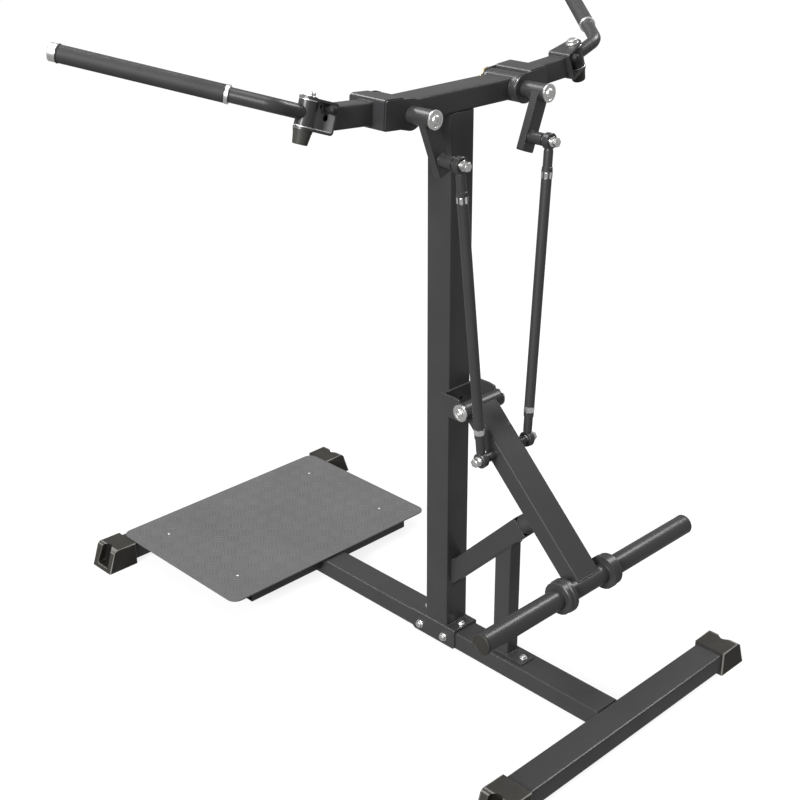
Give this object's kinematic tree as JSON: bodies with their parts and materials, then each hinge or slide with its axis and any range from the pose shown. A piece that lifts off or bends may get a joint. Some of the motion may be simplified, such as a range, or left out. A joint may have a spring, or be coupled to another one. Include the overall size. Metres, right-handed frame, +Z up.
{
  "type": "plate-loaded chest fly machine",
  "caption": "Free-standing chest fly strength machine: swivelling handles on swing arms lift a plate-loaded lever through two pull rods.",
  "frame": {"origin": "middle of the object's bounding box on the floor; the upright stands 0.18 m towards -Y from it", "axes": "+Z up, +X across the machine towards the right arm as seen from the weight side, +Y from the weight horns to the foot platform"},
  "size_m": [1.5954, 1.5894, 1.6041],
  "materials": {
    "powder_coat": "satin charcoal powder coat on steel",
    "platform_grey": "matt grey powder coat on steel tread plate",
    "moulded_rubber": "matt moulded rubber",
    "grip_rubber": "matt foam-like rubber",
    "zinc": "bright zinc-plated steel",
    "brass": "plain bearing bronze",
    "moulded_plastic": "matt moulded plastic"
  },
  "bodies": {
    "frame": {"base_rail": "powder_coat", "front_crossbar": "powder_coat", "rear_crossbar": "powder_coat", "left_platform_support": "powder_coat", "right_platform_support": "powder_coat", "upright_saddle": "powder_coat", "upright": "powder_coat", "stop_post": "powder_coat", "stop_brace": "powder_coat", "lever_bracket": "powder_coat", "top_beam": "powder_coat", "left_bearing_housing": "powder_coat", "right_bearing_housing": "powder_coat", "front_left_foot_cap": "moulded_rubber", "front_right_foot_cap": "moulded_rubber", "rear_left_foot_cap": "moulded_rubber", "rear_right_foot_cap": "moulded_rubber", "stop_bumper": "moulded_rubber", "foot_platform": "platform_grey", "lever_pivot_bolt": "zinc", "left_shaft_bushing": "brass", "right_shaft_bushing": "brass"},
    "lever": {"lever_arm": "powder_coat", "weight_horn": "powder_coat", "left_horn_cap": "moulded_rubber", "right_horn_cap": "moulded_rubber", "left_lever_pin": "zinc", "right_lever_pin": "zinc"},
    "left_ball": {"left_rod_ball": "zinc"},
    "left_rod": {"left_lower_rod_end": "powder_coat", "left_pull_rod": "powder_coat", "left_upper_rod_end": "powder_coat", "left_crank_pin": "zinc"},
    "left_arm_body": {"left_arm": "powder_coat", "left_shaft": "zinc", "left_crank": "powder_coat", "left_rear_washer": "brass", "left_hinge_bracket": "powder_coat", "left_hinge_bolt": "zinc", "left_hinge_knob": "moulded_plastic"},
    "left_handle": {"left_handle_tube": "powder_coat", "left_grip": "grip_rubber", "left_grip_end": "zinc"},
    "left_pull_pin_body": {"left_pull_pin": "moulded_plastic"},
    "right_ball": {"right_rod_ball": "zinc"},
    "right_rod": {"right_lower_rod_end": "powder_coat", "right_pull_rod": "powder_coat", "right_upper_rod_end": "powder_coat", "right_crank_pin": "zinc"},
    "right_arm_body": {"right_arm": "powder_coat", "right_shaft": "zinc", "right_crank": "powder_coat", "right_rear_washer": "brass", "right_hinge_bracket": "powder_coat", "right_hinge_bolt": "zinc", "right_hinge_knob": "moulded_plastic"},
    "right_handle": {"right_handle_tube": "powder_coat", "right_grip": "grip_rubber", "right_grip_end": "zinc"},
    "right_pull_pin_body": {"right_pull_pin": "moulded_plastic"}
  },
  "joints": [
    {"name": "lever_swing", "type": "hinge", "parent": "frame", "child": "lever", "pos_m": [0, -0.2835, 0.7075], "axis": [-1, 0, 0], "range_deg": [0, 50.77]},
    {"name": "left_rod_pitch", "type": "hinge", "parent": "lever", "child": "left_ball", "pos_m": [-0.0809, -0.3666, 0.6187], "axis": [1, 0, 0], "range_deg": [0, 47.87]},
    {"name": "left_rod_tilt", "type": "hinge", "parent": "left_ball", "child": "left_rod", "pos_m": [-0.0809, -0.3666, 0.6187], "axis": [0, 1, 0], "range_deg": [0, 5.35]},
    {"name": "left_arm_swing", "type": "hinge", "parent": "frame", "child": "left_arm_body", "pos_m": [-0.1825, -0.18, 1.427], "axis": [0, -1, 0], "range_deg": [0, 70.2]},
    {"name": "left_handle_swivel", "type": "hinge", "parent": "left_arm_body", "child": "left_handle", "pos_m": [-0.4251, -0.1835, 1.46084], "axis": [0.3295, 0, 0.9441], "range_deg": [-45, 45]},
    {"name": "left_pull_pin_slide", "type": "slide", "parent": "left_arm_body", "child": "left_pull_pin_body", "axis": [0, -1, 0], "range_m": [0, 0.008], "stiffness_N_per_m": 400, "springref_m": -0.004},
    {"name": "right_rod_pitch", "type": "hinge", "parent": "lever", "child": "right_ball", "pos_m": [0.0809, -0.3666, 0.6187], "axis": [1, 0, 0], "range_deg": [0, 47.87]},
    {"name": "right_rod_tilt", "type": "hinge", "parent": "right_ball", "child": "right_rod", "pos_m": [0.0809, -0.3666, 0.6187], "axis": [0, -1, 0], "range_deg": [0, 5.35]},
    {"name": "right_arm_swing", "type": "hinge", "parent": "frame", "child": "right_arm_body", "pos_m": [0.1825, -0.18, 1.427], "axis": [0, 1, 0], "range_deg": [0, 70.2]},
    {"name": "right_handle_swivel", "type": "hinge", "parent": "right_arm_body", "child": "right_handle", "pos_m": [0.4251, -0.1835, 1.46084], "axis": [-0.3295, 0, 0.9441], "range_deg": [-45, 45]},
    {"name": "right_pull_pin_slide", "type": "slide", "parent": "right_arm_body", "child": "right_pull_pin_body", "axis": [0, -1, 0], "range_m": [0, 0.008], "stiffness_N_per_m": 400, "springref_m": -0.004}
  ],
  "couplings": [
    {"joint": "left_rod_pitch", "follows": "lever_swing", "ratio": 0.93962},
    {"joint": "left_rod_tilt", "follows": "lever_swing", "ratio": 0.10347},
    {"joint": "left_arm_swing", "follows": "lever_swing", "ratio": 1.3787},
    {"joint": "right_rod_pitch", "follows": "lever_swing", "ratio": 0.93962},
    {"joint": "right_rod_tilt", "follows": "lever_swing", "ratio": 0.10347},
    {"joint": "right_arm_swing", "follows": "lever_swing", "ratio": 1.3787}
  ]
}
